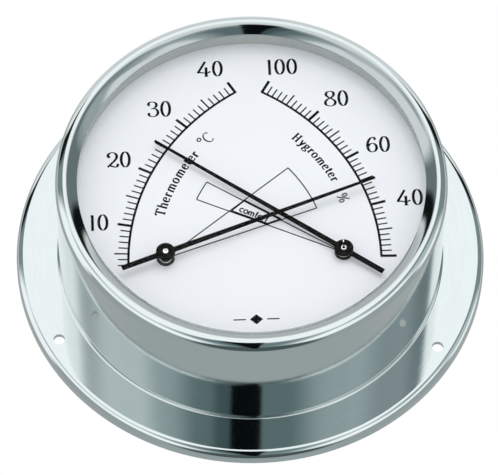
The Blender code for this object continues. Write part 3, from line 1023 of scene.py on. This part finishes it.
class COMFORT_OT_lettering(bpy.types.Operator):
    """Prints the numerals and the names of the scales"""

    bl_idname = "comfort.lettering"
    bl_label = "Numerals and names"

    def execute(self, context):
        make_numerals()
        make_words()
        return {"FINISHED"}


# ---------------- pointers


def pointer_bar(pivot, rest, rear, front, length):
    """A tapering bar with a softly rounded section, from its square tail to its square tip."""
    tail, tail_half, hub_half, tip_half, round_off, end_row = 10.7, 0.64, 0.68, 0.33, 0.05, 0.02
    stations = np.array([-tail, -tail + end_row, 0.0, length * 0.5, length - end_row, length])
    halves = np.interp(stations, [-tail, 0.0, length], [tail_half, hub_half, tip_half])
    path = on_dial(pivot, stations, rest)
    side = 1.0 - round_off / hub_half
    section = [
        (-side, rear),
        (side, rear),
        (1.0, rear + round_off),
        (1.0, front - round_off),
        (side, front),
        (-side, front),
        (-1.0, front - round_off),
        (-1.0, rear + round_off),
    ]
    return swept(path, halves, section)


def hub_disc(pivot, rear, front):
    """The hub: a flat disc with a rounded rim and a shallow turned step round the arbor."""
    outer, rim, step = 2.2, 0.14, 1.15
    profile = np.concatenate(
        [
            [(0.78, rear), (outer - 0.05, rear), (outer, rear + 0.05)],
            arc((outer - rim, front - rim), rim, 0, 90, 6),
            [(step + 0.08, front), (step, front - 0.06), (0.85, front - 0.06), (0.78, front - 0.1)],
        ]
    )
    return turned(profile, 72, pivot)


def arbor_end(pivot, rear, shoulder, front, hollow):
    """The arbor, with a thin pivot at its rear: its bright end is a dimpled button or a bored tube."""
    thin, outer, rim = 0.39, 0.66, 0.1
    if hollow:
        bore, bottom, edge = 0.36, front - 0.8, 0.06
        top = [(bore + edge, front), (bore, front - edge), (bore, bottom), (0.0, bottom)]
    else:
        top = [(0.36, front), (0.32, front - 0.1), (0.2, front - 0.28), (0.0, front - 0.32)]
    rounded = arc((outer - rim, front - rim), rim, 0, 90, 6)
    pivot_end = [(0.0, rear), (thin, rear), (thin, shoulder), (outer, shoulder)]
    return turned(np.concatenate([pivot_end, rounded, top]), 48, pivot)


def upright_bar(pivot, low, high, width, rear, front):
    """A short bar with softened edges, from one height over the pivot to another."""
    path = np.asarray(pivot) + np.array([(0.0, low), (0.0, (low + high) / 2), (0.0, high)])
    shoulder = front - 0.04
    section = [(-1.0, rear), (1.0, rear), (1.0, shoulder), (0.7, front), (-0.7, front), (-1.0, shoulder)]
    return swept(path, np.full(3, width / 2), section)


def bushing(pivot, rear, front):
    """A turned bushing: a flange behind the plate, a sleeve through it, and a rounded nose."""
    bore, outer, flange, flange_front, nose, waist = 0.8, 1.45, 2.4, rear + 0.6, 0.32, 1.35
    profile = np.concatenate(
        [
            [(bore, rear), (flange, rear), (flange, flange_front), (outer, flange_front)],
            [(outer, front - 0.75), (waist, front - 0.68), (waist, front - 0.58), (outer, front - 0.5)],
            arc((outer - nose, front - nose), nose, 0, 90, 8),
            [(bore + 0.12, front), (bore, front - 0.12)],
        ]
    )
    return turned(profile, 64, pivot)


POINTERS = (
    ("hygrometer", HYGROMETER_PIVOT, HYGROMETER_REST, HYGROMETER_REAR, False),
    ("thermometer", THERMOMETER_PIVOT, THERMOMETER_REST, THERMOMETER_REAR, True),
)


def make_pointer(kind, pivot, rest, rear, hollow):
    """One pointer with its boss, its hub, its arbor and the bushing that carries it."""
    body = f"{kind}_movement"
    front = rear + POINTER_FRONT
    bore, boss = 0.8, 1.5
    length = bpy.context.scene.comfort_dial.pointer_length / MM
    ring = turned([(bore, rear), (boss, rear), (boss, front), (bore, front)], 48, pivot)
    shape = merged([pointer_bar(pivot, rest, rear, front, length), ring])
    add_piece(f"{kind}_bar", shape, black_lacquer(), body, "black_lacquer", f"{kind}_pointer")
    disc = hub_disc(pivot, rear + HUB_REAR, rear + HUB_FRONT)
    add_piece(f"{kind}_hub_disc", disc, black_lacquer(), body, "black_lacquer", f"{kind}_hub")
    arbor_rear = -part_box(f"{kind}_arbor")[1].y / MM
    shoulder = -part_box(f"{kind}_adjuster")[0].y / MM + ARBOR_SHOULDER_GAP
    end = arbor_end(pivot, arbor_rear, shoulder, rear + ARBOR_FRONT, hollow)
    add_piece(f"{kind}_arbor_end", end, bright_steel(), body, "turned_steel", f"{kind}_arbor")
    sleeve = bushing(pivot, BUSHING_REAR, BUSHING_FRONT)
    add_piece(f"{kind}_sleeve", sleeve, bright_steel(), "case", "turned_steel", f"{kind}_bushing")


def make_hub_key():
    """The thermometer hub's groove, a black bar of painted shade over the top of the arbor's bright ring, and
    its bright key, on the front of the hub above its arbor.
    """
    front = -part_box("thermometer_hub")[0].y / MM
    rear = front - 0.1
    # Painted shade: a black bar stands for the shade in the slot and breaks the bright arbor ring into a C
    groove_shade = upright_bar(THERMOMETER_PIVOT, 0.35, 1.3, 0.34, rear, front + 0.11)
    add_piece("thermometer_hub_groove_shade", groove_shade, black_lacquer(), "thermometer_movement", "black_lacquer")
    key = upright_bar(THERMOMETER_PIVOT, 1.35, 2.05, 0.3, rear, front + 0.03)
    add_piece("thermometer_hub_key", key, bright_steel(), "thermometer_movement", "turned_steel")


class COMFORT_OT_pointers(bpy.types.Operator):
    """Makes the two pointers with their hubs and bright arbor ends"""

    bl_idname = "comfort.pointers"
    bl_label = "Pointers"

    def execute(self, context):
        for pointer in POINTERS:
            make_pointer(*pointer)
        make_hub_key()
        return {"FINISHED"}


# ---------------- movements and back


def make_movements():
    for kind in ("hygrometer", "thermometer"):
        dress(black_moulding(), f"{kind}_dial_collar")
        dress(turned_brass(), f"{kind}_collet", f"{kind}_adjuster", f"{kind}_coil_stud")
        dress(turned_brass(), f"{kind}_upper_pillar", f"{kind}_lower_pillar")
        dress(zinc_plate(), f"{kind}_bridge", f"{kind}_anchor_arm")
        dress(bright_steel(), f"{kind}_upper_bridge_screw", f"{kind}_lower_bridge_screw")
    dress(humidity_strip(), "hygrometer_coil")
    dress(bimetal_strip(), "thermometer_coil")
    dress(black_moulding(), "movement_plate")


class COMFORT_OT_movements(bpy.types.Operator):
    """Finishes both coil movements and the plate that carries them"""

    bl_idname = "comfort.movements"
    bl_label = "Movements"

    def execute(self, context):
        make_movements()
        return {"FINISHED"}


def make_back():
    dress(black_moulding(), "back_cover")
    for number in (1, 2, 3):
        dress(zinc_plate(), f"spacer_post_{number}", f"case_lug_{number}")
        dress(bright_steel(), f"post_screw_{number}", f"cover_screw_{number}")


class COMFORT_OT_back(bpy.types.Operator):
    """Finishes the rear cover, its screws and the posts behind it"""

    bl_idname = "comfort.back"
    bl_label = "Back"

    def execute(self, context):
        make_back()
        return {"FINISHED"}


# ---------------- stage


def window(tree, value, low, high, soft):
    """One inside low to high, falling to nothing over soft on either side."""
    masks = []
    for edge, start in ((low, 0.0), (high, 1.0)):
        ends = {"From Min": edge - soft, "From Max": edge + soft, "To Min": start, "To Max": 1.0 - start}
        slope = node(tree, "ShaderNodeMapRange", {"Value": value, **ends}, interpolation_type="SMOOTHSTEP")
        masks.append(slope.outputs["Result"])
    return math_node(tree, "MULTIPLY", *masks)


# Soft studio round the object: (azimuth from, to, edge, elevation from, to, edge, colour), in degrees.
# Azimuth 0 is straight in front of the dial and positive to its right. Later panels cover earlier ones.
STUDIO_WALLS = (1.24, 1.28, 1.28, 1.0)
DIFFUSE_LIGHT = (0.89, 0.90, 0.90, 1.0)
BACKDROP = (1.0, 1.0, 1.0, 1.0)
STUDIO = (
    (100.0, 190.0, 14.0, -95.0, 95.0, 6.0, (0.45, 0.48, 0.48)),
    (-190.0, -100.0, 14.0, -95.0, 95.0, 6.0, (0.45, 0.48, 0.48)),
    (64.0, 190.0, 4.0, -70.0, -7.0, 4.0, (0.42, 0.47, 0.47)),
    (-190.0, -64.0, 4.0, -70.0, -5.0, 4.0, (0.42, 0.47, 0.47)),
    (-200.0, 200.0, 1.0, 52.0, 100.0, 5.0, (0.84, 0.88, 0.88)),
    (22.0, 43.0, 2.0, -16.0, 23.0, 3.0, (0.40, 0.47, 0.49)),
    (22.0, 43.0, 2.0, -20.0, -7.0, 7.0, (0.60, 0.69, 0.71)),
    (22.0, 43.0, 2.0, 12.0, 23.0, 6.0, (0.25, 0.31, 0.33)),
    (38.0, 75.0, 4.0, -4.0, 17.0, 4.0, (0.60, 0.68, 0.69)),
    (-40.0, -24.0, 4.0, -18.0, 20.0, 3.0, (0.83, 0.90, 0.91)),
    (-40.0, -24.0, 4.0, 9.0, 20.0, 6.0, (0.56, 0.62, 0.63)),
    (26.0, 95.0, 4.0, 15.0, 42.0, 5.0, (0.26, 0.32, 0.33)),
    (-95.0, -21.0, 5.0, 26.0, 42.0, 4.0, (0.26, 0.32, 0.32)),
    (25.0, 92.0, 4.0, 38.0, 48.0, 2.0, (0.008, 0.011, 0.011)),
    (-92.0, -24.0, 4.0, 38.0, 48.0, 2.0, (0.008, 0.011, 0.011)),
    (-31.0, 27.0, 5.0, -60.0, -11.0, 4.0, (0.52, 0.61, 0.62)),
    (-22.0, 17.0, 6.0, -60.0, -18.0, 5.0, (0.20, 0.28, 0.29)),
    (-12.5, 0.0, 2.0, -75.0, -14.0, 4.0, (0.10, 0.15, 0.16)),
    (-200.0, 200.0, 1.0, -100.0, -60.0, 7.0, (0.09, 0.12, 0.12)),
    (-7.4, 2.8, 0.6, -80.0, -8.0, 3.0, (0.004, 0.006, 0.006)),
)


def make_world():
    """A pale room with grey panels at its sides and below, and a few dark gaps between them.

    The azimuth of a direction is atan2(x, -y) and its elevation is asin(z), both in degrees.
    """
    world = bpy.data.worlds.new("Studio")
    bpy.context.scene.world = world
    world.use_nodes = True
    tree = world.node_tree
    place = node(tree, "ShaderNodeTexCoord")
    x, y, z = node(tree, "ShaderNodeSeparateXYZ", {0: place.outputs["Generated"]}).outputs
    in_degrees = 180.0 / math.pi
    backwards = math_node(tree, "MULTIPLY", y, -1.0)
    azimuth = math_node(tree, "MULTIPLY", math_node(tree, "ARCTAN2", x, backwards), in_degrees)
    elevation = math_node(tree, "MULTIPLY", math_node(tree, "ARCSINE", z), in_degrees)
    colour = STUDIO_WALLS
    for left, right, side, low, high, edge, tint in STUDIO:
        across = window(tree, azimuth, left, right, side)
        upward = window(tree, elevation, low, high, edge)
        colour = mix(tree, math_node(tree, "MULTIPLY", across, upward), colour, (*tint, 1.0))
    path = node(tree, "ShaderNodeLightPath")
    colour = mix(tree, path.outputs["Is Diffuse Ray"], colour, DIFFUSE_LIGHT)
    colour = mix(tree, path.outputs["Is Camera Ray"], colour, BACKDROP)
    feed(tree, tree.nodes["Background"].inputs["Color"], colour)


def make_floor():
    """A wide pale floor far below, sinking towards its rim with the square of the distance, in metres."""
    half, drop, sink, count = 6.0, 1.6, 0.002, 33
    way = np.linspace(-half, half, count)
    x, y = np.meshgrid(way, way, indexing="ij")
    z = -drop - sink * (x**2 + y**2)
    points = np.stack([x, y, z], axis=-1).reshape(-1, 3) / MM
    mesh = mesh_of("floor", points, grid_quads(count, count))
    floor = new_object("floor", mesh)
    mesh.materials.append(pale_floor())
    floor.visible_glossy = False


def make_softbox():
    """A weak round area light in front of the dial, aimed at the object's origin."""
    place, size, power = Vector((0.1, -1.2, 0.3)), 0.8, 2.2
    light = bpy.data.lights.new("Front softbox", "AREA")
    light.shape = "DISK"
    light.size = size
    light.energy = power
    lamp = new_object("Front softbox", light)
    lamp.location = place
    lamp.rotation_euler = (-place).to_track_quat("-Z", "Y").to_euler()
    lamp.visible_glossy = False


def make_camera():
    data = bpy.data.cameras.new("Studio camera")
    data.lens = CAMERA_LENS
    camera = new_object("Studio camera", data)
    axes = Matrix((CAMERA_RIGHT, CAMERA_UP, CAMERA_BACK)).transposed()
    camera.matrix_world = Matrix.Translation(CAMERA_PLACE) @ axes.to_4x4()
    bpy.context.scene.camera = camera


class COMFORT_OT_stage(bpy.types.Operator):
    """Sets the studio room, the pale floor, the softbox and the camera"""

    bl_idname = "comfort.stage"
    bl_label = "Stage"

    def execute(self, context):
        make_world()
        make_floor()
        make_softbox()
        make_camera()
        context.scene.view_settings.view_transform = "Standard"
        return {"FINISHED"}


# ---------------- panel and registration


OPERATORS = (
    COMFORT_OT_case,
    COMFORT_OT_glazing,
    COMFORT_OT_dial,
    COMFORT_OT_lettering,
    COMFORT_OT_pointers,
    COMFORT_OT_movements,
    COMFORT_OT_back,
    COMFORT_OT_stage,
)


class COMFORT_PT_panel(bpy.types.Panel):
    """Lists the pieces and the settings they are made from"""

    bl_idname = "COMFORT_PT_panel"
    bl_label = "Comfort meter"
    bl_space_type = "VIEW_3D"
    bl_region_type = "UI"
    bl_category = "Comfort meter"

    def draw(self, context):
        for settings in (context.scene.comfort_case, context.scene.comfort_dial):
            for name in settings.__annotations__:
                self.layout.prop(settings, name)
        for operator in OPERATORS:
            self.layout.operator(operator.bl_idname)


CLASSES = (CaseSettings, DialSettings, *OPERATORS, COMFORT_PT_panel)


def register():
    for cls in CLASSES:
        bpy.utils.register_class(cls)
    bpy.types.Scene.comfort_case = bpy.props.PointerProperty(type=CaseSettings)
    bpy.types.Scene.comfort_dial = bpy.props.PointerProperty(type=DialSettings)


def unregister():
    del bpy.types.Scene.comfort_dial
    del bpy.types.Scene.comfort_case
    for cls in reversed(CLASSES):
        bpy.utils.unregister_class(cls)


def main():
    register()
    for operator in OPERATORS:
        getattr(bpy.ops.comfort, operator.bl_idname.split(".")[1])()


if __name__ == "__main__":
    main()
